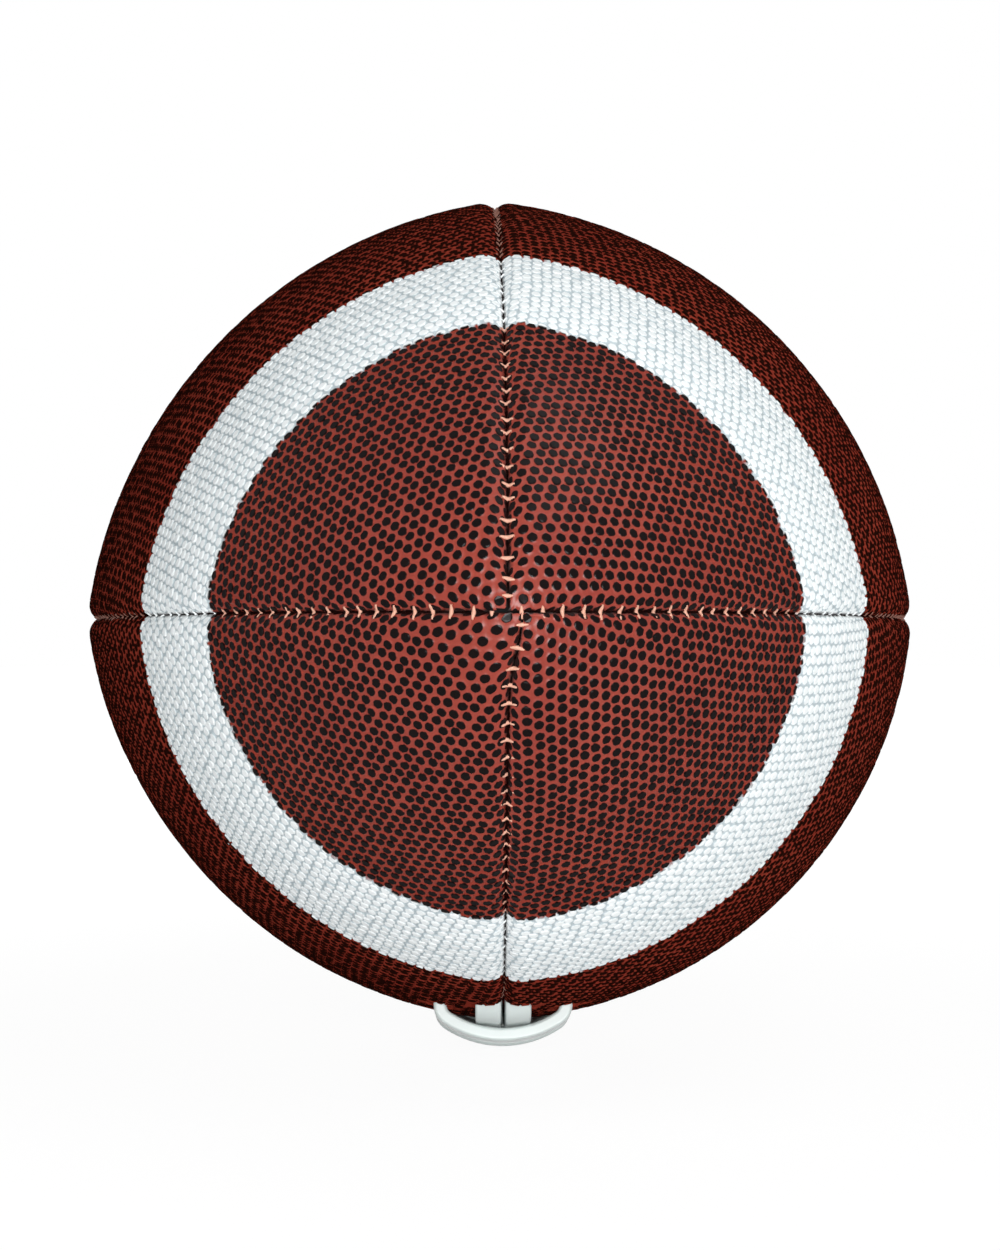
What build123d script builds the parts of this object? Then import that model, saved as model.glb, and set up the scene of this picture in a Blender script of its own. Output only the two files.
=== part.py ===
"""American football: four sewn panels over a laced-in bladder.

The long axis lies along Y and the lacing is underneath. The pieces are drawn about the middle of the ball,
then lifted together so that the ball stands with its lace on Z = 0. All sizes are in mm.
"""
import os
from math import atan, cos, pi, sin, sqrt

from build123d import *

os.makedirs("parts", exist_ok=True)

# form of the inflated ball
ball_length = 282.0
ball_diameter = 170.0  # across two seams at the belly
nose_power = 0.66  # 0.5 gives an ellipse, 1.0 a sharp lemon
panel_flatness = 0.965  # radius at the middle of a panel over the radius at its seams
nose_opening = 1.6  # seam radius where the four panel tips stop

# layers of the cover, each measured square to the surface
leather_thickness = 2.0
lining_thickness = 0.9
bladder_wall = 0.8
layer_clearance = 0.3

# sewn seam
seam_half_gap = 0.45
shoulder_radius = 2.2
flange_depth = 5.0  # how far the turned-in edge reaches under the surface
stitch_pitch = 4.2
stitch_length = 0.86
stitch_size = 0.72
stitch_depth = 1.35
stitch_nose_margin = 7.0

# lace
lace_width = 5.0
lace_thickness = 2.5
lace_corner = 0.6
cross_count = 8
cross_pitch = 14.0
cross_hole_offset = 12.2  # from the lace seam to the middle of a punched hole
cross_hole_diameter = 6.2
cross_corner_radius = 3.0
cross_top_radius = 20.0
tape_side_gap = 0.3
tape_bend_radius = 3.2
tape_end_margin = 4.5  # from the middle of the last cross to the start of the bend
end_slot_width = 12.0
end_slot_length = 4.8
end_slot_corner = 1.2
end_slot_shift = 0.2  # towards the middle of the lacing, to clear the bend of the lace

# lacing reinforcement under the cover
facing_thickness = 1.2
facing_width = 18.0
facing_margin = 14.0
guard_thickness = 1.0
guard_width = 40.0

# valve
valve_stem_radius = 3.6
valve_hole_clearance = 0.3
valve_face_depth = 0.8
valve_length = 20.0
valve_flange_radius = 10.0
valve_flange_thickness = 1.2
plug_radius = 2.0
plug_clearance = 0.1
plug_length = 15.0
needle_radius = 1.0
needle_depth = 12.0

half_length = ball_length / 2
half_diameter = ball_diameter / 2
lining_depth = leather_thickness + layer_clearance
under_lining = lining_depth + lining_thickness + layer_clearance
under_facing = under_lining + facing_thickness
turn_depth = max(flange_depth, under_facing) + layer_clearance + lace_thickness / 2
guard_depth = turn_depth + lace_thickness / 2 + layer_clearance
recess_depth = guard_depth + guard_thickness + layer_clearance
flange_edge = seam_half_gap + leather_thickness


def seam_radius(y):
    """Radius of the ball at a seam, at the place y along the long axis."""
    return half_diameter * (1 - (y / half_length) ** 2) ** nose_power


def seam_slope(y):
    """Slope of the long profile, radius over y."""
    bulge = 1 - (y / half_length) ** 2
    return -2 * half_diameter * nose_power * y / half_length**2 * bulge ** (nose_power - 1)


def outward(y):
    """The y and radial parts of the direction square to the long profile."""
    slope = seam_slope(y)
    return -slope / sqrt(1 + slope**2), 1 / sqrt(1 + slope**2)


def under(y, depth):
    """The y and radius of the point that lies depth under the seam line at y."""
    along, across = outward(y)
    return y - depth * along, seam_radius(y) - depth * across


def stations(depth, smallest):
    """Profile places for a loft, out to where the layer's seam radius is the smallest one asked for."""
    low, high = 0.0, half_length * 0.99999
    while high - low > 1e-4:
        middle = (low + high) / 2
        if under(middle, depth)[1] > smallest:
            low = middle
        else:
            high = middle
    shares = (0, 0.2, 0.4, 0.58, 0.74, 0.86, 0.94, 0.982, 1)
    return [-low * share for share in reversed(shares[1:])] + [low * share for share in shares]


def across(y):
    """Plane across the ball at y: its x is X and its y is Z."""
    return Plane(origin=(0, y, 0), x_dir=(1, 0, 0), z_dir=(0, -1, 0))


def arc_shift(seam):
    """How far the middle of a panel's arc lies beyond the ball's axis, along X and along Z."""
    return seam * (1 - panel_flatness**2) / (2 * panel_flatness - sqrt(2)) / sqrt(2)


def round_outline(seam):
    """Whole outline across the ball: four flat arcs that meet at the seams."""
    middle = panel_flatness * seam / sqrt(2)
    with BuildSketch() as outline:
        with BuildLine():
            ThreePointArc((seam, 0), (middle, middle), (0, seam))
            ThreePointArc((0, seam), (-middle, middle), (-seam, 0))
            ThreePointArc((-seam, 0), (-middle, -middle), (0, -seam))
            ThreePointArc((0, -seam), (middle, -middle), (seam, 0))
        make_face()
    return outline.sketch


def quarter_outline(seam, edge):
    """One quarter of the outline, held the edge distance away from both seam planes."""
    shift = arc_shift(seam)
    arc_radius = panel_flatness * seam + shift * sqrt(2)
    top = sqrt(arc_radius**2 - (edge + shift) ** 2) - shift
    middle = panel_flatness * seam / sqrt(2)
    with BuildSketch() as outline:
        with BuildLine():
            ThreePointArc((top, edge), (middle, middle), (edge, top))
            Line((edge, top), (edge, edge))
            Line((edge, edge), (top, edge))
        make_face()
    return outline.sketch


def shoulder_outline(seam, edge, shoulder):
    """The quarter outline with its two outer corners rounded into the seams."""
    shift = arc_shift(seam)
    arc_radius = panel_flatness * seam + shift * sqrt(2)
    near = edge + shoulder
    far = sqrt((arc_radius - shoulder) ** 2 - (near + shift) ** 2) - shift
    reach = arc_radius / (arc_radius - shoulder)
    meet_near = (near + shift) * reach - shift
    meet_far = (far + shift) * reach - shift
    lean = atan((near + shift) / (far + shift))
    turn = (pi / 2 + lean) / 2
    bulge_near = near - shoulder * sin(turn - lean)
    bulge_far = far + shoulder * cos(turn - lean)
    middle = panel_flatness * seam / sqrt(2)
    with BuildSketch() as outline:
        with BuildLine():
            ThreePointArc((far, edge), (bulge_far, bulge_near), (meet_far, meet_near))
            ThreePointArc((meet_far, meet_near), (middle, middle), (meet_near, meet_far))
            ThreePointArc((meet_near, meet_far), (bulge_near, bulge_far), (edge, far))
            Line((edge, far), (edge, edge))
            Line((edge, edge), (far, edge))
        make_face()
    return outline.sketch


def layer_body(depth):
    """Solid ball whose surface lies depth under the cover."""
    with BuildPart() as body:
        for place in stations(depth, 2.0):
            y, seam = under(place, depth)
            with BuildSketch(across(y)):
                add(round_outline(seam))
        loft()
    return body.part


def quarter_body(depth, edge):
    """Solid quarter of the ball at that depth, upper right, clear of the seam planes by the edge distance."""
    with BuildPart() as body:
        for place in stations(depth, edge + 4.0):
            y, seam = under(place, depth)
            with BuildSketch(across(y)):
                add(quarter_outline(seam, edge))
        loft()
    return body.part


# bodies that several pieces are cut from
with BuildPart() as cover_wedge:
    for place in stations(0, nose_opening):
        seam = seam_radius(place)
        edge = min(seam_half_gap, 0.2 * seam)
        shoulder = min(shoulder_radius, 0.28 * seam)
        with BuildSketch(across(place)):
            add(shoulder_outline(seam, edge, shoulder))
    loft()

cover_inside = quarter_body(leather_thickness, flange_edge)
flange_inside = layer_body(flange_depth)
lining_outside = quarter_body(lining_depth, flange_edge + layer_clearance)
lining_inside = layer_body(lining_depth + lining_thickness)
facing_outside = layer_body(under_lining)
facing_inside = layer_body(under_facing)

# one plain panel and one plain lining, upper right
with BuildPart() as plain_panel:
    add(cover_wedge.part)
    add(cover_inside, mode=Mode.SUBTRACT)
    add(flange_inside, mode=Mode.SUBTRACT)

with BuildPart() as plain_lining:
    add(lining_outside)
    add(lining_inside, mode=Mode.SUBTRACT)

# places of the eight lace crosses: z square to the seam, x across it
cross_places = [(index - (cross_count - 1) / 2) * cross_pitch for index in range(cross_count)]
cross_reach = cross_places[-1]


def seam_plane(y):
    """Plane on the lace seam at y, with x across the seam and z straight out of the ball."""
    along, away = outward(y)
    return Plane(origin=(0, y, -seam_radius(y)), x_dir=(1, 0, 0), z_dir=(0, along, -away))


def drop(offset):
    """How far the cover lies under the lace seam at an offset to its side."""
    shift = arc_shift(half_diameter)
    arc_radius = panel_flatness * half_diameter + shift * sqrt(2)
    return half_diameter + shift - sqrt(arc_radius**2 - (offset + shift) ** 2)


def drop_angle(offset):
    """Slope of the cover, in degrees, at an offset to the side of the lace seam."""
    return atan((drop(offset + 0.1) - drop(offset - 0.1)) / 0.2) * 180 / pi


slot_place = cross_reach + tape_end_margin
slot_plane_rear = seam_plane(slot_place)
slot_plane_front = seam_plane(-slot_place)

# punched holes and end slots, cut from everything the lace passes
with BuildPart() as lace_holes:
    for place in cross_places:
        with BuildSketch(seam_plane(place)):
            with Locations((cross_hole_offset, 0), (-cross_hole_offset, 0)):
                Circle(cross_hole_diameter / 2)
        extrude(amount=12, both=True)
    with BuildSketch(slot_plane_rear):
        with Locations((0, end_slot_shift - tape_bend_radius)):
            RectangleRounded(end_slot_width, end_slot_length, end_slot_corner)
    extrude(amount=12, both=True)
    with BuildSketch(slot_plane_front):
        with Locations((0, tape_bend_radius - end_slot_shift)):
            RectangleRounded(end_slot_width, end_slot_length, end_slot_corner)
    extrude(amount=12, both=True)

# valve axis: middle of the upper right panel, square to it
valve_plane = Plane(origin=(0, 0, 0), x_dir=(0, 1, 0), z_dir=(1, 0, 1))
panel_radius = panel_flatness * half_diameter
valve_face = panel_radius - valve_face_depth

with BuildPart() as valve_hole:
    with BuildSketch(valve_plane):
        Circle(valve_stem_radius + valve_hole_clearance)
    extrude(amount=panel_radius + 10)

# cover panels
with BuildPart() as panel_upper_right:
    add(plain_panel.part)
    add(valve_hole.part, mode=Mode.SUBTRACT)

with BuildPart() as panel_upper_left:
    add(mirror(plain_panel.part, about=Plane.YZ, mode=Mode.PRIVATE))

with BuildPart() as panel_lower_right:
    add(mirror(plain_panel.part, about=Plane.XY, mode=Mode.PRIVATE))
    add(lace_holes.part, mode=Mode.SUBTRACT)

with BuildPart() as panel_lower_left:
    add(mirror(panel_upper_left.part, about=Plane.XY, mode=Mode.PRIVATE))
    add(lace_holes.part, mode=Mode.SUBTRACT)

# fabric linings
with BuildPart() as lining_upper_right:
    add(plain_lining.part)
    add(valve_hole.part, mode=Mode.SUBTRACT)

with BuildPart() as lining_upper_left:
    add(mirror(plain_lining.part, about=Plane.YZ, mode=Mode.PRIVATE))

with BuildPart() as lining_lower_right:
    add(mirror(plain_lining.part, about=Plane.XY, mode=Mode.PRIVATE))
    add(lace_holes.part, mode=Mode.SUBTRACT)

with BuildPart() as lining_lower_left:
    add(mirror(lining_upper_left.part, about=Plane.XY, mode=Mode.PRIVATE))
    add(lace_holes.part, mode=Mode.SUBTRACT)

# lace facings: strips that back the punched holes, one on each side of the slit
facing_length = 2 * (cross_reach + facing_margin)
facing_start = flange_edge + layer_clearance
with BuildPart() as lace_facing_right:
    with BuildSketch(Plane.XY):
        with Locations((facing_start + facing_width / 2, 0)):
            RectangleRounded(facing_width, facing_length, 4)
    extrude(amount=-half_diameter)
    add(facing_outside, mode=Mode.INTERSECT)
    add(facing_inside, mode=Mode.SUBTRACT)
    add(lace_holes.part, mode=Mode.SUBTRACT)

with BuildPart() as lace_facing_left:
    add(mirror(lace_facing_right.part, about=Plane.YZ, mode=Mode.PRIVATE))

# bladder guard: a tongue between the lace's inner runs and the bladder
with BuildPart() as bladder_guard:
    with BuildSketch(Plane.XY):
        RectangleRounded(guard_width, facing_length, 6)
    extrude(amount=-half_diameter)
    add(layer_body(guard_depth), mode=Mode.INTERSECT)
    add(layer_body(guard_depth + guard_thickness), mode=Mode.SUBTRACT)


def bladder_body(inset):
    """Bladder as a solid: it fills the lining, gives way to the seam flanges and is dented under the lacing."""
    groove = 2 * (flange_edge + layer_clearance + inset)
    with BuildPart() as body:
        add(layer_body(under_lining + inset))
        Box(groove, ball_length, ball_diameter, mode=Mode.SUBTRACT)
        Box(ball_diameter, ball_length, groove, mode=Mode.SUBTRACT)
        add(layer_body(flange_depth + layer_clearance + inset))
        with BuildSketch(Plane.XY):
            RectangleRounded(guard_width + 4 + 2 * inset, facing_length + 4 + 2 * inset, 8)
        extrude(amount=-half_diameter, mode=Mode.SUBTRACT)
        add(layer_body(recess_depth + inset))
    return body.part


with BuildPart() as bladder:
    add(bladder_body(0))
    add(bladder_body(bladder_wall), mode=Mode.SUBTRACT)
    add(valve_hole.part, mode=Mode.SUBTRACT)

# valve: a moulded rubber stem with a flange bonded inside the bladder
with BuildPart() as valve_body:
    with BuildSketch(valve_plane):
        Circle(valve_flange_radius)
    extrude(amount=panel_radius)
    add(layer_body(under_lining + bladder_wall + layer_clearance), mode=Mode.INTERSECT)
    add(layer_body(under_lining + bladder_wall + layer_clearance + valve_flange_thickness), mode=Mode.SUBTRACT)
    with BuildSketch(valve_plane.offset(valve_face)):
        Circle(valve_stem_radius)
    extrude(amount=-valve_length)
    with BuildSketch(valve_plane.offset(valve_face)):
        Circle(plug_radius + plug_clearance)
    extrude(amount=-(plug_length + plug_clearance), mode=Mode.SUBTRACT)

with BuildPart() as valve_plug:
    with BuildSketch(valve_plane.offset(valve_face)):
        Circle(plug_radius)
    extrude(amount=-plug_length)
    with BuildSketch(valve_plane.offset(valve_face)):
        Circle(needle_radius)
    extrude(amount=-needle_depth, mode=Mode.SUBTRACT)

# lace: one length, run twice along the seam and then eight times across it
tape_offset = tape_side_gap + lace_width / 2
tape_height = layer_clearance + lace_thickness / 2 - drop(tape_offset)
tape_lean = drop_angle(tape_offset) * pi / 180
cross_top = layer_clearance * 2 + lace_thickness * 1.5
cross_rise = sqrt((cross_top_radius - cross_corner_radius) ** 2 - (cross_hole_offset - cross_corner_radius) ** 2)
cross_shoulder = cross_top - cross_top_radius + cross_rise
run_lean = drop_angle(cross_hole_offset)
run_height = -drop(cross_hole_offset) - under_facing - layer_clearance - lace_thickness / 2
leg_end = run_height - lace_thickness * 0.35


def step(point, way, length):
    """The point moved a length along a way, both in the plane of a profile."""
    return point[0] + way[0] * length, point[1] + way[1] * length


def tape(side):
    """One pass of the lace along the seam, dipping into the end slots."""
    leg = tape_height - tape_bend_radius + turn_depth
    run_points = []
    for share in (-1, -0.66, -0.33, 0, 0.33, 0.66, 1):
        y, radius = under(share * slot_place, -tape_height)
        run_points.append((y, -radius))
    along, away = outward(slot_place)
    ahead_front = (away, -along)
    ahead_rear = (away, along)
    inward_front = (along, away)
    inward_rear = (-along, away)
    dip_front = step(step(run_points[0], ahead_front, -tape_bend_radius), inward_front, tape_bend_radius)
    dip_rear = step(step(run_points[-1], ahead_rear, tape_bend_radius), inward_rear, tape_bend_radius)
    with BuildPart() as run:
        with BuildLine(Plane.YZ) as route:
            Line(step(dip_front, inward_front, leg), dip_front)
            TangentArc(dip_front, run_points[0], tangent=(-along, -away))
            Spline(*run_points, tangents=(ahead_front, ahead_rear))
            TangentArc(run_points[-1], dip_rear, tangent=ahead_rear)
            Line(dip_rear, step(dip_rear, inward_rear, leg))
        width_way = (side * cos(tape_lean), sin(tape_lean) * ahead_front[0], sin(tape_lean) * ahead_front[1])
        with BuildSketch(Plane(origin=route.line @ 0, x_dir=width_way, z_dir=route.line % 0)):
            RectangleRounded(lace_width, lace_thickness, lace_corner)
        sweep()
    return run.part.moved(Location((side * tape_offset, 0, 0)))


def cross(place):
    """One cross of the lace: out of one punched hole, over both tapes and into the hole opposite."""
    base = seam_plane(place)
    profile = Plane(origin=base.origin, x_dir=base.x_dir, z_dir=-base.y_dir)
    reach = cross_top_radius / (cross_top_radius - cross_corner_radius)
    meet_x = (cross_hole_offset - cross_corner_radius) * reach
    meet_y = cross_top - cross_top_radius + cross_rise * reach
    hip = cross_corner_radius / sqrt(2)
    hip_x = cross_hole_offset - cross_corner_radius + hip
    hip_y = cross_shoulder + hip
    with BuildPart() as arch:
        with BuildLine(profile) as route:
            Line((-cross_hole_offset, leg_end), (-cross_hole_offset, cross_shoulder))
            ThreePointArc((-cross_hole_offset, cross_shoulder), (-hip_x, hip_y), (-meet_x, meet_y))
            ThreePointArc((-meet_x, meet_y), (0, cross_top), (meet_x, meet_y))
            ThreePointArc((meet_x, meet_y), (hip_x, hip_y), (cross_hole_offset, cross_shoulder))
            Line((cross_hole_offset, cross_shoulder), (cross_hole_offset, leg_end))
        with BuildSketch(Plane(origin=route.line @ 0, x_dir=profile.x_dir, z_dir=route.line % 0)):
            RectangleRounded(lace_thickness, lace_width, lace_corner)
        sweep()
    return arch.part


def inner_run(start, end, width_way):
    """Straight hidden run of the lace between two points under the cover."""
    way = (end - start).normalized()
    extra = lace_width * 0.44
    with BuildPart() as run:
        with BuildSketch(Plane(origin=start - way * extra, x_dir=width_way, z_dir=way)):
            RectangleRounded(lace_width, lace_thickness, lace_corner)
        extrude(amount=(end - start).length + 2 * extra)
    return run.part


def run_way(side):
    """Direction across a hidden run beside the slit, lying along the cover."""
    return Vector(cos(run_lean * pi / 180), 0, side * sin(run_lean * pi / 180))


def hole_point(place, side):
    """Middle of the lace's inner run under a punched hole."""
    return seam_plane(place).from_local_coords(Vector(side * cross_hole_offset, 0, run_height))


def slot_point(plane, offset, shift):
    """Middle of the lace where it turns under an end slot."""
    return plane.from_local_coords(Vector(offset, shift, -turn_depth))


with BuildPart() as lace:
    add(tape(1))
    add(tape(-1))
    for place in cross_places:
        add(cross(place))
    for index in range(cross_count - 1):
        side = 1 if index % 2 == 0 else -1
        start = hole_point(cross_places[index], side)
        end = hole_point(cross_places[index + 1], side)
        add(inner_run(start, end, run_way(side)))
    front_left = slot_point(slot_plane_front, -tape_offset, tape_bend_radius)
    front_right = slot_point(slot_plane_front, tape_offset, tape_bend_radius)
    add(inner_run(front_left, front_right, slot_plane_front.y_dir))
    rear_left = slot_point(slot_plane_rear, -tape_offset, -tape_bend_radius)
    rear_corner = slot_plane_rear.from_local_coords(Vector(-cross_hole_offset, -tape_bend_radius, run_height))
    add(inner_run(rear_left, rear_corner, slot_plane_rear.y_dir))
    add(inner_run(hole_point(cross_reach, -1), rear_corner, run_way(-1)))

# seam threads: the bars of thread that bridge each seam
stitch_places = []
with BuildLine():
    seam_run = [under(place, stitch_depth) for place in stations(stitch_depth, stitch_nose_margin)]
    seam_line = Spline(*seam_run)
stitch_count = int(seam_line.length / stitch_pitch)
for index in range(stitch_count + 1):
    stitch_places.append((seam_line @ (index / stitch_count), seam_line % (index / stitch_count)))

with BuildPart() as seam_thread_top:
    for point, way in stitch_places:
        with BuildSketch(Plane(origin=(-stitch_length / 2, point.X, point.Y), x_dir=(0, way.X, way.Y), z_dir=(1, 0, 0))):
            RegularPolygon(stitch_size / 2, 6)
    extrude(amount=stitch_length)

with BuildPart() as seam_thread_left:
    add(seam_thread_top.part.rotate(Axis.Y, -90))

with BuildPart() as seam_thread_right:
    add(seam_thread_top.part.rotate(Axis.Y, 90))

slit_reach = slot_place + tape_bend_radius + end_slot_length
with BuildPart() as seam_thread_lace:
    add(seam_thread_top.part.rotate(Axis.Y, 180))
    Box(20, 2 * slit_reach, ball_diameter * 1.2, mode=Mode.SUBTRACT)

pieces = {
    "panel_upper_right": panel_upper_right,
    "panel_upper_left": panel_upper_left,
    "panel_lower_right": panel_lower_right,
    "panel_lower_left": panel_lower_left,
    "lining_upper_right": lining_upper_right,
    "lining_upper_left": lining_upper_left,
    "lining_lower_right": lining_lower_right,
    "lining_lower_left": lining_lower_left,
    "lace_facing_right": lace_facing_right,
    "lace_facing_left": lace_facing_left,
    "bladder_guard": bladder_guard,
    "bladder": bladder,
    "valve_body": valve_body,
    "valve_plug": valve_plug,
    "lace": lace,
    "seam_thread_top": seam_thread_top,
    "seam_thread_left": seam_thread_left,
    "seam_thread_right": seam_thread_right,
    "seam_thread_lace": seam_thread_lace,
}
stand_height = seam_radius(cross_pitch / 2) + cross_top + lace_thickness / 2
for name, piece in pieces.items():
    raised = piece.part.moved(Location((0, 0, stand_height)))
    raised.label = name
    export_step(raised, f"parts/{name}.step")
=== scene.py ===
"""American football: looks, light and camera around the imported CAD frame.

Lengths are in metres. The long axis lies along Y, the lace is underneath and the ball stands on Z = 0.
"""

import math
import random

import bpy
import numpy as np
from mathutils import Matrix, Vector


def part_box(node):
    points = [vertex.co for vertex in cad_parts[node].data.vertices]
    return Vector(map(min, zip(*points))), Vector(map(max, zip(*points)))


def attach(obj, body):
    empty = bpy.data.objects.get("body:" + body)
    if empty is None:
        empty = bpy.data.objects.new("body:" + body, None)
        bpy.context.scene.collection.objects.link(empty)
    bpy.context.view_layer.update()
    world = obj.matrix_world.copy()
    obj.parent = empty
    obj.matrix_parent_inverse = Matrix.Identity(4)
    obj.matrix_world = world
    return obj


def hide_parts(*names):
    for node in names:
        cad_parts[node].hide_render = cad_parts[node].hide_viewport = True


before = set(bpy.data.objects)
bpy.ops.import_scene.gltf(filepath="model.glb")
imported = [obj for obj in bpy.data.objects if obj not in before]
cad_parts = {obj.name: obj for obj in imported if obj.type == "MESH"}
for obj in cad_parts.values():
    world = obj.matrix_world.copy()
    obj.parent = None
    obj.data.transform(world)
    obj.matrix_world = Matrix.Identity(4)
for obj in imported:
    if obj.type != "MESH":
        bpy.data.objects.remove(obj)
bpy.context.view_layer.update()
bpy.ops.object.select_all(action="DESELECT")

# Cover panels: four pointed ovals of leather, embossed with close round pebbles, their edges turned in and
# sewn to the next panel. Each is a skin of pebbles on a six-sided lattice, laid on the panel's flat pattern.
# The long profile is the CAD's, and the cross section is four flat arcs, one for each panel.
MM = 0.001
half_length = 141.0 * MM
half_diameter = 85.0 * MM
nose_power = 0.66
panel_flatness = 0.965
sewn_flatness = {(1, 1): 0.950, (-1, 1): 0.953, (-1, -1): 0.970, (1, -1): 0.980}  # each as it came out
seam_half_gap = 0.12 * MM
shoulder_radius = 2.6 * MM
groove_share = 0.72  # the pulled thread keeps the groove shallower than the shoulder is wide
tip_gap_share = 0.2  # towards the tips the gap and the shoulder shrink with the radius
tip_shoulder_share = 0.28
profile_count = 6001
profile_end = 0.99985  # just short of the tip, where the slope has no limit
thread_low, thread_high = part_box("seam_thread_left")
axis_height = (thread_low[2] + thread_high[2]) / 2


def seam_radius(y):
    """Radius at a seam at the places y along the long axis."""
    return half_diameter * (1 - (y / half_length) ** 2) ** nose_power


def seam_slope(y):
    """Slope of the long profile at the places y."""
    bulge = 1 - (y / half_length) ** 2
    return -2 * half_diameter * nose_power * y / half_length**2 * bulge ** (nose_power - 1)


profile_y = half_length * np.sin(np.linspace(-1, 1, profile_count) * math.asin(profile_end))
profile_radius = seam_radius(profile_y)
mid_steps = np.hypot(np.diff(profile_y), panel_flatness * np.diff(profile_radius))
mid_length = np.concatenate([[0], np.cumsum(mid_steps)])
mid_length -= mid_length[-1] / 2
mid_slope = panel_flatness * seam_slope(profile_y)
mid_bend = mid_slope / np.sqrt(1 + mid_slope**2) / (panel_flatness * profile_radius)


def panel_section(along, flatness):
    """Sizes of a panel's cross section at distances along its middle line."""
    y = np.interp(along, mid_length, profile_y)
    radius = seam_radius(y)
    shift = radius * (1 - flatness**2) / (2 * flatness - math.sqrt(2)) / math.sqrt(2)
    arc = flatness * radius + shift * math.sqrt(2)
    edge = np.minimum(seam_half_gap, tip_gap_share * radius)
    shoulder = np.minimum(shoulder_radius, tip_shoulder_share * radius)
    near = edge + shoulder
    far = np.sqrt((arc - shoulder) ** 2 - (near + shift) ** 2) - shift
    lean = np.arctan2(near + shift, far + shift)
    flat_half = arc * (math.pi / 4 - lean)
    roll_half = flat_half + shoulder * (math.pi / 2 + lean)
    return y, shift, arc, shoulder, near, far, lean, flat_half, roll_half


def panel_point(along, across, height, flatness):
    """Points over a panel of the first quadrant, from places along and across it and a height over it."""
    y, shift, arc, shoulder, near, far, lean, flat_half, roll_half = panel_section(along, flatness)
    side = np.abs(across)
    on_flat = side <= flat_half
    turn = np.where(on_flat, math.pi / 4 - side / arc, lean - (side - flat_half) / shoulder)
    turn = np.maximum(turn, -math.pi / 2)
    below = np.maximum(side - roll_half, 0)
    slope = seam_slope(y)
    straight = 1 / np.sqrt(1 + slope**2)
    low = np.where(on_flat, -shift + arc * np.sin(turn), near + shoulder * np.sin(turn))
    rolled = far + shoulder * (np.cos(lean) - groove_share * (np.cos(lean) - np.cos(turn)))
    high = np.where(on_flat, -shift + arc * np.cos(turn), rolled) - below
    low = low + height * np.sin(turn) * straight
    high = high + height * np.cos(turn) * straight
    y = y - height * slope * straight
    x = np.where(across >= 0, low, high)
    z = np.where(across >= 0, high, low)
    return np.stack([x, y, z], axis=-1)


unroll_rounds = 40
unroll_gain = 0.6
least_bend = 1e-3  # per metre, so that the middle of the panel isn't divided by zero
largest_sine = 0.95


def unrolled(flat):
    """Distances along a panel's middle line and across it for places on its flat pattern, and the misses."""
    along = flat[:, 0].copy()
    for _ in range(unroll_rounds):
        bend = np.interp(along, mid_length, mid_bend)
        bend = np.where(np.abs(bend) < least_bend, least_bend, bend)
        angle = np.arcsin(np.clip(flat[:, 1] * bend, -largest_sine, largest_sine))
        along += unroll_gain * (flat[:, 0] + (1 - np.cos(angle)) / bend - along)
        along = np.clip(along, mid_length[0], mid_length[-1])
    back = np.stack([along - (1 - np.cos(angle)) / bend, np.sin(angle) / bend], axis=1)
    return along, angle / bend, np.linalg.norm(back - flat, axis=1)


# How the sewing pulled the seams: the two lower tips sit to the right of the upper ones, the top seam leans
# to the left, both side seams hang a little and the left side bulges.
tip_shift = 2.2 * MM
tip_shift_reach = 9.0 * MM
top_lean = 0.020
side_lean = 0.022
left_swell = 0.016
left_swell_power = 8
least_radius = 1e-9  # so that a point on the axis isn't divided by zero


def sewn(points, lower):
    """Moves points, measured from the ball's middle, as the sewing moved the leather."""
    x, y, z = points.T
    radius = np.hypot(x, z) + least_radius
    share = np.minimum(radius / half_diameter, 1.0) ** 2
    x = x * (1 + left_swell * np.clip(-x / half_diameter, 0, 1) ** left_swell_power)
    turn = side_lean * share * np.sign(x) * (x / radius) ** 2
    turn -= top_lean * share * np.clip(z / radius, 0, 1) ** 2
    x, z = x * np.cos(turn) + z * np.sin(turn), z * np.cos(turn) - x * np.sin(turn)
    if lower:
        moved = x + np.where(y < 0, tip_shift * np.exp(-((radius / tip_shift_reach) ** 2)), 0)
        before = np.clip(np.hypot(x, z) / half_diameter, 0, 1)
        after = np.clip(np.hypot(moved, z) / half_diameter, 0, 1)
        power = 1 / nose_power
        sunk = half_length * (np.sqrt(1 - after**power) - np.sqrt(1 - before**power))
        y = y - np.where(y < 0, sunk, 0)
        x = moved
    return np.stack([x, y, z], axis=1)


def linear(hex_colour):
    """A written sRGB colour as the linear colour that a shader socket takes."""
    values = [int(hex_colour[start:start + 2], 16) / 255 for start in (1, 3, 5)]
    return [v / 12.92 if v <= 0.04045 else ((v + 0.055) / 1.055) ** 2.4 for v in values] + [1.0]


def new_material(name):
    """A material with its node tree and its principled shader."""
    material = bpy.data.materials.new(name)
    material.use_nodes = True
    return material, material.node_tree, material.node_tree.nodes["Principled BSDF"]


def node(tree, kind, settings=None, links=None):
    """Adds a shader node, sets its properties or sockets by name, and links sockets to its inputs."""
    made = tree.nodes.new(kind)
    for key, value in (settings or {}).items():
        if isinstance(key, str) and hasattr(made, key):
            setattr(made, key, value)
        else:
            made.inputs[key].default_value = value
    for key, socket in (links or {}).items():
        tree.links.new(socket, made.inputs[key])
    return made


# The white stripe is painted over both ends of the sewn ball, over leather and thread alike, with an edge
# that wavers from pebble to pebble. Its places are distances from the middle of the ball.
stripe_inner = 103.4 * MM
stripe_outer = 80.2 * MM
stripe_middle = (stripe_inner + stripe_outer) / 2
stripe_half = (stripe_inner - stripe_outer) / 2
stripe_sag = 0.050  # the painted rings sit a little low on the ball
stripe_blur = 0.15 * MM
waver_size = 2.381 * MM


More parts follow.
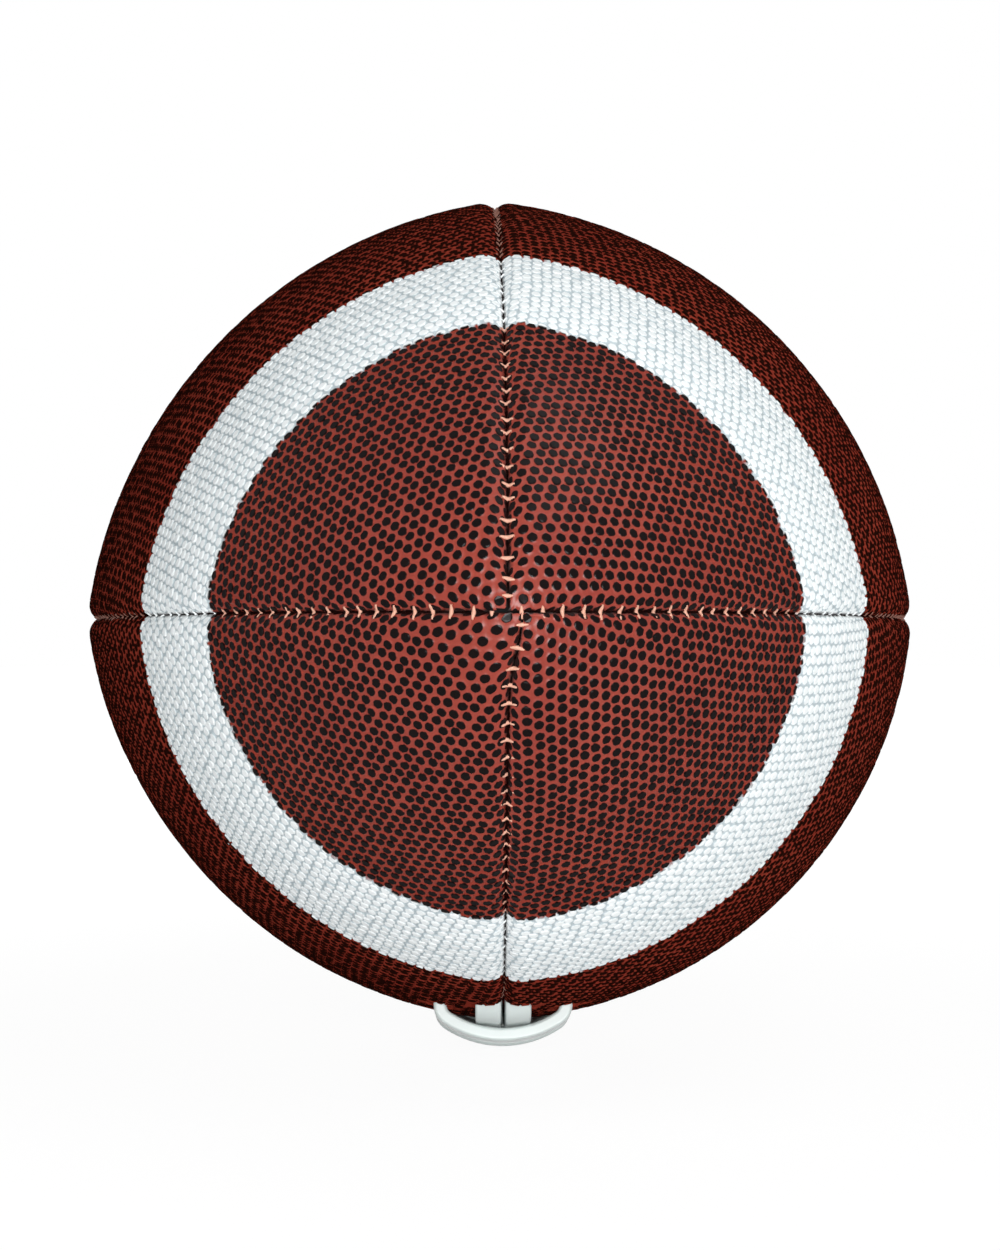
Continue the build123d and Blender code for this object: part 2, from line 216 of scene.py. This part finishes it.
def stripe_mask(tree, waver):
    """Two sockets: 1 inside the painted stripes, whose edges waver, and the distance from their middle."""
    place = node(tree, "ShaderNodeTexCoord").outputs["Object"]
    noise = {"Scale": 1 / waver_size, "Detail": 2.0}
    wobble = node(tree, "ShaderNodeTexNoise", noise, {"Vector": place}).outputs["Fac"]
    split = node(tree, "ShaderNodeSeparateXYZ", links={"Vector": place})
    away = node(tree, "ShaderNodeMath", {"operation": "ABSOLUTE"}, {0: split.outputs["Y"]}).outputs[0]
    sag = {"operation": "MULTIPLY_ADD", 1: -stripe_sag, 2: stripe_sag * axis_height}
    sag = node(tree, "ShaderNodeMath", sag, {0: split.outputs["Z"]}).outputs[0]
    away = node(tree, "ShaderNodeMath", {"operation": "ADD"}, {0: away, 1: sag}).outputs[0]
    move = {"operation": "MULTIPLY_ADD", 1: waver, 2: -waver / 2}
    move = node(tree, "ShaderNodeMath", move, {0: wobble}).outputs[0]
    away = node(tree, "ShaderNodeMath", {"operation": "ADD"}, {0: away, 1: move}).outputs[0]
    off = node(tree, "ShaderNodeMath", {"operation": "SUBTRACT", 1: stripe_middle}, {0: away}).outputs[0]
    off = node(tree, "ShaderNodeMath", {"operation": "ABSOLUTE"}, {0: off}).outputs[0]
    limits = {"From Min": stripe_half + stripe_blur, "From Max": stripe_half - stripe_blur}
    return node(tree, "ShaderNodeMapRange", limits, {"Value": off}).outputs["Result"], off


# Pebbled leather, dyed red-brown: the pebble tops are dark, the dye shows between them, and the wax gives a
# gloss towards the noses. The gloss ends at the belly, where the white studio would lie on it as a grey film.
grain_size = 1.111 * MM
blotch_size = 16.67 * MM
leather_waver = 1.6 * MM
drop_spacing = 3.846 * MM  # specks of paint beside the stripes
drop_reach = 11.0 * MM
drop_full = 5.0 * MM
top_turn_start, top_turn_end = 84 * MM, 100 * MM  # from the middle: the pebble tops turn from brown to black
wax_start, wax_end = 94 * MM, 130 * MM  # from the middle: the gloss comes in
leather, tree, shader = new_material("pebbled_leather")
cell = node(tree, "ShaderNodeUVMap", {"uv_map": "pebble"}).outputs["UV"]
place = node(tree, "ShaderNodeTexCoord").outputs["Object"]
reach = node(tree, "ShaderNodeVectorMath", {"operation": "LENGTH"}, {0: cell}).outputs["Value"]
noise = {"Scale": 1 / grain_size, "Detail": 3.0}
grain = node(tree, "ShaderNodeTexNoise", noise, {"Vector": place}).outputs["Fac"]
noise = {"Scale": 1 / blotch_size, "Detail": 2.0}
blotch = node(tree, "ShaderNodeTexNoise", noise, {"Vector": place}).outputs["Fac"]
fray = {"operation": "MULTIPLY_ADD", 1: 0.22}
reach = node(tree, "ShaderNodeMath", fray, {0: grain, 2: reach}).outputs[0]
limits = {"From Min": 0.96, "From Max": 0.84}
top = node(tree, "ShaderNodeMapRange", limits, {"Value": reach}).outputs["Result"]
# 1 on a pebble's top, where the stripe's paint shows white, and 0 in the valleys, which get painted shade.
limits = {"From Min": 1.0, "From Max": 0.86}
unshaded_top = node(tree, "ShaderNodeMapRange", limits, {"Value": reach}).outputs["Result"]
groove = node(tree, "ShaderNodeAttribute", {"attribute_name": "groove"}).outputs["Fac"]
# How deep a point lies in the seam groove, for the painted shade there.
limits = {"From Min": 0.62, "From Max": 0.86}
groove_shade_mask = node(tree, "ShaderNodeMapRange", limits, {"Value": groove}).outputs["Result"]
dyes = {"data_type": "RGBA", 6: linear("#78261d"), 7: linear("#8f3a2b")}
base = node(tree, "ShaderNodeMix", dyes, {0: blotch}).outputs[2]
split = node(tree, "ShaderNodeSeparateXYZ", links={"Vector": place})
away = node(tree, "ShaderNodeMath", {"operation": "ABSOLUTE"}, {0: split.outputs["Y"]}).outputs[0]
limits = {"From Min": top_turn_start, "From Max": top_turn_end}
end = node(tree, "ShaderNodeMapRange", limits, {"Value": away}).outputs["Result"]
# Pebble tops: brown towards the belly, black towards the noses.
darks = {"data_type": "RGBA", 6: linear("#220d08"), 7: linear("#0a0303")}
top_dark = node(tree, "ShaderNodeMix", darks, {0: end}).outputs[2]
brown = node(tree, "ShaderNodeMix", {"data_type": "RGBA"}, {0: top, 6: base, 7: top_dark}).outputs[2]
# Stripe paint: white on the pebble tops and grey-blue between them, which is painted shade in the valleys.
paint_and_valley_shade = {"data_type": "RGBA", 6: linear("#b9c5ca"), 7: linear("#eff4f5")}
white = node(tree, "ShaderNodeMix", paint_and_valley_shade, {0: unshaded_top}).outputs[2]
paint, off = stripe_mask(tree, leather_waver)
spatter = node(tree, "ShaderNodeTexVoronoi", {"Scale": 1 / drop_spacing}, {"Vector": place})
limits = {"From Min": 0.11, "From Max": 0.08}
drop = node(tree, "ShaderNodeMapRange", limits, {"Value": spatter.outputs["Distance"]}).outputs["Result"]
few = {"operation": "GREATER_THAN", 1: 0.9}
chosen = node(tree, "ShaderNodeMath", few, {0: spatter.outputs["Color"]}).outputs[0]
limits = {"From Min": stripe_half + drop_reach, "From Max": stripe_half + drop_full}
zone = node(tree, "ShaderNodeMapRange", limits, {"Value": off}).outputs["Result"]
drop = node(tree, "ShaderNodeMath", {"operation": "MULTIPLY"}, {0: drop, 1: chosen}).outputs[0]
drop = node(tree, "ShaderNodeMath", {"operation": "MULTIPLY"}, {0: drop, 1: zone}).outputs[0]
paint = node(tree, "ShaderNodeMath", {"operation": "MAXIMUM"}, {0: paint, 1: drop}).outputs[0]
colour = node(tree, "ShaderNodeMix", {"data_type": "RGBA"}, {0: paint, 6: brown, 7: white}).outputs[2]
# Deep in the seam groove the colour turns near-black: painted shade in the recess, where the stripe's paint
# also stays off.
groove_shade = {"data_type": "RGBA", 7: linear("#1c0907")}
colour = node(tree, "ShaderNodeMix", groove_shade, {0: groove_shade_mask, 6: colour}).outputs[2]
limits = {"To Min": 0.36, "To Max": 0.22}
gloss = node(tree, "ShaderNodeMapRange", limits, {"Value": top}).outputs["Result"]
limits = {"To Min": 0.32, "To Max": 0.09}
shine = node(tree, "ShaderNodeMapRange", limits, {"Value": top}).outputs["Result"]
limits = {"From Min": wax_start, "From Max": wax_end}
waxed = node(tree, "ShaderNodeMapRange", limits, {"Value": away}).outputs["Result"]
shine = node(tree, "ShaderNodeMath", {"operation": "MULTIPLY"}, {0: shine, 1: waxed}).outputs[0]
bumps = {"Strength": 0.12, "Distance": 0.2 * MM}
fine = node(tree, "ShaderNodeBump", bumps, {"Height": grain}).outputs["Normal"]
tree.links.new(colour, shader.inputs["Base Color"])
tree.links.new(gloss, shader.inputs["Roughness"])
tree.links.new(shine, shader.inputs["Specular IOR Level"])
tree.links.new(fine, shader.inputs["Normal"])

# Openings that the skins leave, as in the CAD: the lace's punched holes, its two end slots and the valve
# hole. Each is a middle, the direction out of the ball, two half sizes and the power of its outline.
cross_count = 8
cross_pitch = 14.0 * MM
cross_offset = 12.2 * MM
hole_radius = 3.1 * MM
slot_place = 53.5 * MM
slot_outset = 3.0 * MM
slot_half_width = 6.0 * MM
slot_half_length = 2.4 * MM
valve_hole_radius = 3.9 * MM
round_power = 2
slot_power = 4
opening_wall = 2.6 * MM
opening_depth = 12.0 * MM  # points further than this from its middle, along its axis, lie outside it
outside_share = 9.0
least_share = 0.05  # so that an opening's middle isn't divided by zero


def lace_seam_frame(y):
    """The place of the lace seam at y, the direction out of the ball there and the one along the seam."""
    slope = float(seam_slope(y))
    out = np.array([0, -slope, -1]) / math.hypot(slope, 1)
    return np.array([0, y, -float(seam_radius(y))]), out, np.array([0, -out[2], out[1]])


lace_openings = []
for index in range(cross_count):
    middle, out, _ = lace_seam_frame((index - (cross_count - 1) / 2) * cross_pitch)
    for side in (-1, 1):
        beside = middle + np.array([side * cross_offset, 0, 0])
        lace_openings.append((beside, out, hole_radius, hole_radius, round_power))
for end in (-1, 1):
    middle, out, lengthwise = lace_seam_frame(end * slot_place)
    middle = middle + end * slot_outset * lengthwise
    lace_openings.append((middle, out, slot_half_width, slot_half_length, slot_power))
valve_way = np.array([1, 0, 1]) / math.sqrt(2)
valve_middle = valve_way * sewn_flatness[1, 1] * half_diameter
valve_openings = [(valve_middle, valve_way, valve_hole_radius, valve_hole_radius, round_power)]


def opening_reach(points, opening):
    """How far points lie from an opening's middle, as a share of its outline, and their parts on its axes."""
    middle, out, half_x, half_y, power = opening
    first = np.array([1, 0, 0]) - out * out[0]
    first /= np.linalg.norm(first)
    second = np.cross(out, first)
    away = points - middle
    u, v, height = away @ first / half_x, away @ second / half_y, away @ out
    share = (np.abs(u) ** power + np.abs(v) ** power) ** (1 / power)
    share = np.where(np.abs(height) < opening_depth, share, outside_share)
    return share, u, v, height, first * half_x, second * half_y


def punched(points, opening):
    """Points of a skin, with those inside an opening's outline laid on the wall of the opening."""
    share, u, v, height, first_half, second_half = opening_reach(points, opening)
    rim = np.maximum(share, least_share)
    wall = opening[0] + np.outer(u / rim, first_half) + np.outer(v / rim, second_half)
    wall += np.outer(height - (1 - share) * opening_wall, opening[1])
    return np.where((share < 1)[:, None], wall, points)


# Pebbles: each cell of the lattice is a flat top on six flanks that meet those of the next cells.
pebble_pitch = 2.05 * MM
pebble_height = 0.4 * MM
pebble_jitter = 0.085 * pebble_pitch
pebble_top_share = 0.66
crown_range = (0.8, 1.15)  # pebbles differ in height by these factors
groove_limit = 1.2
groove_flattening = 0.5  # the turned-in edge presses its pebbles flat
nose_spread = 0.34  # the pebbles stand further apart close to the noses
nose_spread_reach = 12.0 * MM
lattice_overreach = 2.4  # rows to each side, over those in half a panel's length: enough at any angle
lattice_margin = 3.0 * MM
edge_overrun = 1.0 * MM  # how far the skin goes on past the roll of its edge
edge_overrun_share = 0.3
tip_margin = 0.3 * MM
largest_miss = 0.02 * MM
kept_share = 0.3  # pebbles nearer than this to an opening's middle are left out
bare_share = 1.3  # and those nearer than this get no dark top
bare_shift = 3.0  # added to such a pebble's UV places, so that all lie beyond the edge of a top


def spread(flat):
    """Spaces the pebbles of the flat pattern out towards both noses."""
    for end in (mid_length[0], mid_length[-1]):
        away = flat - np.array([end, 0])
        distance = np.linalg.norm(away, axis=-1, keepdims=True)
        flat = flat + away * nose_spread * np.exp(-distance / nose_spread_reach)
    return flat


def pebble_lattice(angle, count, draw):
    """A jittered six-sided lattice: the middles of its pebbles and the corners of their cells."""
    i, j = np.meshgrid(np.arange(-count, count + 1), np.arange(-count, count + 1), indexing="ij")
    first = np.array([math.cos(angle), math.sin(angle)]) * pebble_pitch
    second = np.array([math.cos(angle + math.pi / 3), math.sin(angle + math.pi / 3)]) * pebble_pitch
    middles = i[..., None] * first + j[..., None] * second
    middles = middles + draw.uniform(-1, 1, i.shape + (2,)) * pebble_jitter
    up = np.zeros_like(middles)
    down = np.zeros_like(middles)
    up[:-1, :-1] = (middles[:-1, :-1] + middles[1:, :-1] + middles[:-1, 1:]) / 3
    down[:-1, :-1] = (middles[1:, :-1] + middles[1:, 1:] + middles[:-1, 1:]) / 3
    return middles, np.stack([up, down], axis=2).reshape(-1, 2)


def cell_corners(kept, size):
    """The numbers of the six corners around each kept pebble, in a lattice of size pebbles a side."""
    row, column = kept.T
    here = 2 * (row * size + column)
    before = here - 2 * size
    return np.stack([here, before + 1, before, before - 1, here - 2, here - 1], axis=1)


def pebble_pattern(sides, lattice_angle, draw, openings):
    """A panel's flat pattern: cell corners, their numbers around each pebble, the middles and bare ones."""
    flatness = sewn_flatness[sides]
    tip = mid_length[-1]
    count = int(lattice_overreach * tip / pebble_pitch)
    middles, corners = pebble_lattice(lattice_angle, count, draw)
    inside = (np.abs(middles[..., 0]) < tip + lattice_margin) & (np.abs(middles[..., 1]) < half_diameter)
    inside[:2] = inside[-2:] = inside[:, :2] = inside[:, -2:] = False
    kept = np.argwhere(inside)
    centre = spread(middles[inside])
    along, across, miss = unrolled(centre)
    section = panel_section(along, flatness)
    limit = section[-1] + np.minimum(edge_overrun, edge_overrun_share * seam_radius(section[0]))
    fits = (np.abs(across) < limit) & (miss < largest_miss) & (np.abs(along) < tip - tip_margin)
    facing = np.array([sides[0], 1, sides[1]])
    spot = sewn(panel_point(along, across, np.zeros(len(along)), flatness) * facing, sides[1] < 0)
    bare = np.zeros(len(along))
    for opening in openings:
        share = opening_reach(spot, opening)[0]
        fits &= share > kept_share
        bare = np.where(share < bare_share, bare_shift, bare)
    used, corner_ids = np.unique(cell_corners(kept[fits], 2 * count + 1), return_inverse=True)
    return spread(corners[used]), corner_ids.reshape(-1, 6), centre[fits], bare[fits]


def pebbled_panel(name, sides, lattice_angle, seed, openings):
    """One cover panel as a skin of pebbles, with the openings that are punched in it."""
    draw = np.random.default_rng(seed)
    corners, corner_ids, centre, bare = pebble_pattern(sides, lattice_angle, draw, openings)
    arms = corners[corner_ids] - centre[:, None]
    arm = np.linalg.norm(arms, axis=2).mean(axis=1)[:, None, None]
    ring = centre[:, None] + arms * pebble_top_share * np.minimum(1, pebble_pitch / math.sqrt(3) / arm)
    flat = np.concatenate([corners, ring.reshape(-1, 2)])
    along, across, _ = unrolled(flat)
    flat_half, roll_half = panel_section(along, sewn_flatness[sides])[-2:]
    groove = np.clip((np.abs(across) - flat_half) / (roll_half - flat_half), 0, groove_limit)
    crown = pebble_height * draw.uniform(*crown_range, len(centre))
    heights = np.concatenate([np.zeros(len(corners)), np.repeat(crown, 6)])
    heights = heights * (1 - groove_flattening * np.minimum(groove, 1))
    facing = np.array([sides[0], 1, sides[1]])
    points = sewn(panel_point(along, across, heights, sewn_flatness[sides]) * facing, sides[1] < 0)
    for opening in openings:
        points = punched(points, opening)
    points[:, 2] += axis_height
    tops = len(corners) + np.arange(len(centre) * 6).reshape(-1, 6)
    after = np.roll(np.arange(6), -1)
    flanks = np.stack([tops, corner_ids, corner_ids[:, after], tops[:, after]], axis=2).reshape(-1, 4)
    spots = (flat[np.stack([tops, corner_ids])] - centre[:, None]) / (pebble_pitch / 2)
    tops_uv, low_uv = spots + bare[:, None, None]
    flanks_uv = np.stack([tops_uv, low_uv, low_uv[:, after], tops_uv[:, after]], axis=2).reshape(-1, 4, 2)
    if sides[0] * sides[1] < 0:
        tops, flanks = tops[:, ::-1], flanks[:, ::-1]
        tops_uv, flanks_uv = tops_uv[:, ::-1], flanks_uv[:, ::-1]
    mesh = bpy.data.meshes.new(name)
    mesh.from_pydata(points.tolist(), [], tops.tolist() + flanks.tolist())
    layer = mesh.uv_layers.new(name="pebble")
    layer.data.foreach_set("uv", np.concatenate([tops_uv.reshape(-1), flanks_uv.reshape(-1)]))
    mesh.attributes.new("groove", "FLOAT", "POINT").data.foreach_set("value", groove)
    smooth = np.concatenate([np.zeros(len(tops), dtype=bool), np.ones(len(flanks), dtype=bool)])
    mesh.polygons.foreach_set("use_smooth", smooth)
    mesh.materials.append(leather)
    panel = bpy.data.objects.new(name, mesh)
    bpy.context.collection.objects.link(panel)
    return panel


for panel_name, panel_sides, panel_angle, panel_openings in (
    ("panel_upper_right", (1, 1), 0.35, valve_openings),
    ("panel_upper_left", (-1, 1), 0.9, []),
    ("panel_lower_right", (1, -1), 0.6, lace_openings),
    ("panel_lower_left", (-1, -1), 0.15, lace_openings),
):
    panel_seed = len(panel_name) + int(panel_angle * 100)
    panel = pebbled_panel(panel_name + "_leather", panel_sides, panel_angle, panel_seed, panel_openings)
    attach(panel, "root")
    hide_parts(panel_name)

# Seam thread: waxed cord, sewn through both turned-in edges. Only the bars that bridge a seam show. They are
# pale close to the noses and white under the stripe's paint. Towards the belly, where they sink in, they
# are darkened with painted shade, for the deeper groove there gets less light.
thread_waver = 0.6 * MM
thread_shade_fade_start, thread_shade_fade_end = 85 * MM, 115 * MM  # from the middle: the painted shade on the thread fades out, from dark to pale
thread, tree, shader = new_material("waxed_thread")
paint, _ = stripe_mask(tree, thread_waver)
place = node(tree, "ShaderNodeTexCoord").outputs["Object"]
split = node(tree, "ShaderNodeSeparateXYZ", links={"Vector": place})
away = node(tree, "ShaderNodeMath", {"operation": "ABSOLUTE"}, {0: split.outputs["Y"]}).outputs[0]
limits = {"From Min": thread_shade_fade_start, "From Max": thread_shade_fade_end}
thread_unshaded = node(tree, "ShaderNodeMapRange", limits, {"Value": away}).outputs["Result"]
# The darker colour is painted shade on the thread. The paler one is its own colour.
thread_shade_colours = {"data_type": "RGBA", 6: linear("#7d4f40"), 7: linear("#c9957f")}
bare = node(tree, "ShaderNodeMix", thread_shade_colours, {0: thread_unshaded}).outputs[2]
painted = {"data_type": "RGBA", 7: linear("#e6ebeb")}
colour = node(tree, "ShaderNodeMix", painted, {0: paint, 6: bare}).outputs[2]
tree.links.new(colour, shader.inputs["Base Color"])
shader.inputs["Roughness"].default_value = 0.55
stitch_pitch = 3.4 * MM
stitch_half = 1.0 * MM  # from the seam to the needle hole
stitch_nose_margin = 1.8 * MM
stitch_jitter = 0.4 * MM
stitch_lean = 0.22
stitch_sway = 0.15 * MM
stitch_length_range = (0.85, 1.15)
stitch_height_range = (0.85, 1.1)
nose_length_share = 0.8  # at the very noses the stitches are shorter and lie flatter
nose_length_reach = 25.0 * MM
nose_height_share = 0.1
nose_height_reach = 14.0 * MM
sunk_from = 15.0 * MM  # radius of the ball where the stitches start to sink into the seam
sunk_reach = 45.0 * MM
sunk_depth = 0.66 * MM
sunk_shorter = 0.42
sunk_thinner = 0.25
slit_half = 62.0 * MM  # the laced slit has no stitches
bar_steps = np.array([-1.1, -1.0, -0.75, -0.4, 0, 0.4, 0.75, 1.0, 1.1])
bar_heights = np.array([-0.9, -0.08, -0.3, -0.7, -0.88, -0.7, -0.3, -0.08, -0.9]) * MM
bar_radius = np.array([0.23, 0.28]) * MM  # outwards and along the seam
bar_swell = [0.45, 0.55, 0.85, 1.2, 1.35, 1.2, 0.85, 0.55, 0.45]  # the cord is drawn thin where it dives
bar_sides = 8
seam_steps = np.hypot(np.diff(profile_y), np.diff(profile_radius))
seam_length = np.concatenate([[0], np.cumsum(seam_steps)])
seam_length -= seam_length[-1] / 2


def bar_points(place, across, out, lengthwise, steps, heights, thickness):
    """Rings of points along one bar of thread, with steps across the seam and heights out of it."""
    ways = np.stack([np.gradient(steps), np.gradient(heights)], axis=1)
    ways /= np.linalg.norm(ways, axis=1, keepdims=True)
    points = []
    for step, height, way, swell in zip(steps, heights, ways, bar_swell):
        middle = place + step * across + height * out
        normal = way[0] * out - way[1] * across
        for side in range(bar_sides):
            turned = 2 * math.pi * side / bar_sides
            around = bar_radius[0] * math.cos(turned) * normal
            around = around + bar_radius[1] * math.sin(turned) * lengthwise
            points.append(middle + around * swell * thickness)
    return np.array(points)


def bar_faces(start):
    """Faces of one bar, whose points are numbered from start: its sides and both ends."""
    faces = []
    for low in range(start, start + (len(bar_steps) - 1) * bar_sides, bar_sides):
        high = low + bar_sides
        for side in range(bar_sides):
            after = (side + 1) % bar_sides
            faces.append([low + side, high + side, high + after, low + after])
    faces.append([start + side for side in range(bar_sides)])
    faces.append([high + side for side in reversed(range(bar_sides))])
    return faces


def seam_bars(name, turn, seed):
    """One row of thread bars, over the seam that lies turned from the top seam about the long axis."""
    draw = random.Random(seed)
    reach_along = seam_length[-1] - stitch_nose_margin
    count = int(2 * reach_along / stitch_pitch)
    bars = []
    faces = []
    for index in range(count + 1):
        along = (index / count - 0.5) * 2 * reach_along + draw.uniform(-1, 1) * stitch_jitter
        y = float(np.interp(along, seam_length, profile_y))
        if turn == math.pi and abs(y) < slit_half:
            continue
        slope = float(seam_slope(y))
        radius = float(seam_radius(y))
        out = np.array([0, -slope, 1]) / math.hypot(slope, 1)
        lengthwise = np.array([0, out[2], -out[1]])
        lean = draw.uniform(-1, 1) * stitch_lean
        across = np.array([math.cos(lean), 0, 0]) + math.sin(lean) * lengthwise
        lengthwise = math.cos(lean) * lengthwise - np.array([math.sin(lean), 0, 0])
        sunk = min(1, max(0, radius - sunk_from) / sunk_reach)
        reach = stitch_half * draw.uniform(*stitch_length_range) * (1 - sunk_shorter * sunk)
        reach *= min(1, nose_length_share + radius / nose_length_reach)
        heights = bar_heights * draw.uniform(*stitch_height_range)
        heights = heights * min(1, nose_height_share + radius / nose_height_reach) - sunk_depth * sunk
        place = np.array([draw.uniform(-1, 1) * stitch_sway, y, radius])
        faces += bar_faces(len(bars) * len(bar_steps) * bar_sides)
        thickness = 1 - sunk_thinner * sunk
        bars.append(bar_points(place, across, out, lengthwise, bar_steps * reach, heights, thickness))
    x, y, z = np.concatenate(bars).T
    c, s = math.cos(turn), math.sin(turn)
    points = sewn(np.stack([c * x + s * z, y, c * z - s * x], axis=1), turn == math.pi)
    points[:, 2] += axis_height
    mesh = bpy.data.meshes.new(name)
    mesh.from_pydata(points.tolist(), [], faces)
    mesh.polygons.foreach_set("use_smooth", np.ones(len(mesh.polygons), dtype=bool))
    mesh.materials.append(thread)
    row = bpy.data.objects.new(name, mesh)
    bpy.context.collection.objects.link(row)
    return row


for seam_name, seam_turn in (("top", 0), ("right", math.pi / 2), ("lace", math.pi), ("left", 1.5 * math.pi)):
    bars = seam_bars("stitches_" + seam_name, seam_turn, seam_name)
    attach(bars, "root")
    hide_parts("seam_thread_" + seam_name)

# Inner pieces: woven linings and facings behind the leather, the guard, the rubber bladder and its valve. The
# CAD solids are kept, and only the end of the valve shows, at the bottom of its hole: dark and dull.
lining_nodes = ["lining_upper_right", "lining_upper_left", "lining_lower_right", "lining_lower_left"]
backing_nodes = ["lace_facing_right", "lace_facing_left", "bladder_guard"]
for inner_name, inner_colour, inner_roughness, inner_nodes in (
    ("woven_lining", "#d8cfbd", 0.9, lining_nodes + backing_nodes),
    ("bladder_rubber", "#161617", 0.8, ["bladder"]),
    ("valve_rubber", "#141414", 0.5, ["valve_body", "valve_plug"]),
):
    inner, _, shader = new_material(inner_name)
    shader.inputs["Base Color"].default_value = linear(inner_colour)
    shader.inputs["Roughness"].default_value = inner_roughness
    for inner_node in inner_nodes:
        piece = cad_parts[inner_node].data
        piece.materials.clear()
        piece.materials.append(inner)

# Lace: one white moulded vinyl cord of flat section, pulled through the punched holes to close the slit. The
# CAD solid is kept. Vinyl is smooth and gives a soft highlight.
vinyl, _, shader = new_material("white_vinyl")
shader.inputs["Base Color"].default_value = linear("#c0c9c7")
shader.inputs["Roughness"].default_value = 0.3
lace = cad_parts["lace"]
lace.data.materials.clear()
lace.data.materials.append(vinyl)

# Floor: a plain pale sheet of paper under the ball. To the rays that show the background, nine tenths of it
# is a white glow. The last tenth is lit paper, which keeps the ball's shadow.
floor_size = 6
floor_drop = 0.2 * MM  # the lace stands clear of the paper
glow_share = 0.9


def background_rays(tree):
    """A socket that is 1 for the rays that show the background: seen directly, mirrored or through glass."""
    rays = node(tree, "ShaderNodeLightPath")
    seen = rays.outputs["Is Camera Ray"]
    for kind in ("Is Glossy Ray", "Is Transmission Ray"):
        pair = {0: seen, 1: rays.outputs[kind]}
        seen = node(tree, "ShaderNodeMath", {"operation": "MAXIMUM"}, pair).outputs[0]
    return seen


bpy.ops.mesh.primitive_plane_add(size=floor_size, location=(0, 0, -floor_drop))
floor = bpy.context.active_object
floor.name = "floor"
paper, tree, shader = new_material("white_paper")
shader.inputs["Base Color"].default_value = linear("#f4f4f4")
shader.inputs["Roughness"].default_value = 0.9
place = node(tree, "ShaderNodeTexCoord").outputs["Object"]
away = node(tree, "ShaderNodeVectorMath", {"operation": "LENGTH"}, {0: place}).outputs["Value"]
limits = {"From Min": 0.12, "From Max": 0.55, "To Min": 1.05, "To Max": 1.12}
level = node(tree, "ShaderNodeMapRange", limits, {"Value": away}).outputs["Result"]
glow = node(tree, "ShaderNodeEmission", {"Color": linear("#ffffff")}, {"Strength": level}).outputs[0]
part = {"operation": "MULTIPLY", 1: glow_share}
seen = node(tree, "ShaderNodeMath", part, {0: background_rays(tree)}).outputs[0]
mixed = node(tree, "ShaderNodeMixShader", links={0: seen, 1: shader.outputs[0], 2: glow})
tree.links.new(mixed.outputs[0], tree.nodes["Material Output"].inputs["Surface"])
floor.data.materials.append(paper)

# World: white to the rays that show the background and a soft grey fill for the ball.
world = bpy.data.worlds.new("studio")
world.use_nodes = True
bpy.context.scene.world = world
tree = world.node_tree
fill = tree.nodes["Background"]
fill.inputs["Color"].default_value = linear("#ffffff")
fill.inputs["Strength"].default_value = 0.14
backdrop = node(tree, "ShaderNodeBackground", {"Color": linear("#ffffff"), "Strength": 1.0})
sides = {0: background_rays(tree), 1: fill.outputs[0], 2: backdrop.outputs[0]}
mixed = node(tree, "ShaderNodeMixShader", links=sides)
tree.links.new(mixed.outputs[0], tree.nodes["World Output"].inputs["Surface"])


# Lights: three square studio lights, in front of the near nose, above it and behind the far nose.
def softbox(name, place, size, watts):
    """A square studio light aimed at the middle of the ball."""
    bpy.ops.object.light_add(type="AREA", location=place)
    lamp = bpy.context.active_object
    lamp.name = name
    lamp.data.size = size
    lamp.data.energy = watts
    aim = np.array([0, 0, axis_height]) - np.array(place)
    lamp.rotation_euler = (math.acos(-aim[2] / np.linalg.norm(aim)), 0, math.atan2(-aim[0], aim[1]))


softbox("front_softbox", (0.06, -0.85, 0.11), 0.35, 8.5)
softbox("top_softbox", (0.3, -0.3, 0.95), 0.6, 1.6)
softbox("back_softbox", (-0.06, 0.9, 0.11), 0.35, 4)

# Camera: straight at the nose, as in the photograph, whose frame is shifted a little off the ball's middle.
camera_distance = 0.5
camera_left = 3.9 * MM
camera_rise = 0.8 * MM
photo_height = 1250
focal_pixels = 2321
shift_pixels = (17.1, -18.2)
sensor_height = 36
camera_place = (-camera_left, -camera_distance, axis_height + camera_rise)
bpy.ops.object.camera_add(location=camera_place, rotation=(math.pi / 2, 0, 0))
camera = bpy.context.active_object
camera.data.sensor_fit = "VERTICAL"
camera.data.sensor_height = sensor_height
camera.data.lens = sensor_height * focal_pixels / photo_height
camera.data.shift_x = shift_pixels[0] / photo_height
camera.data.shift_y = shift_pixels[1] / photo_height
camera.data.clip_start = 0.01
bpy.context.scene.camera = camera
bpy.context.scene.view_settings.view_transform = "Standard"
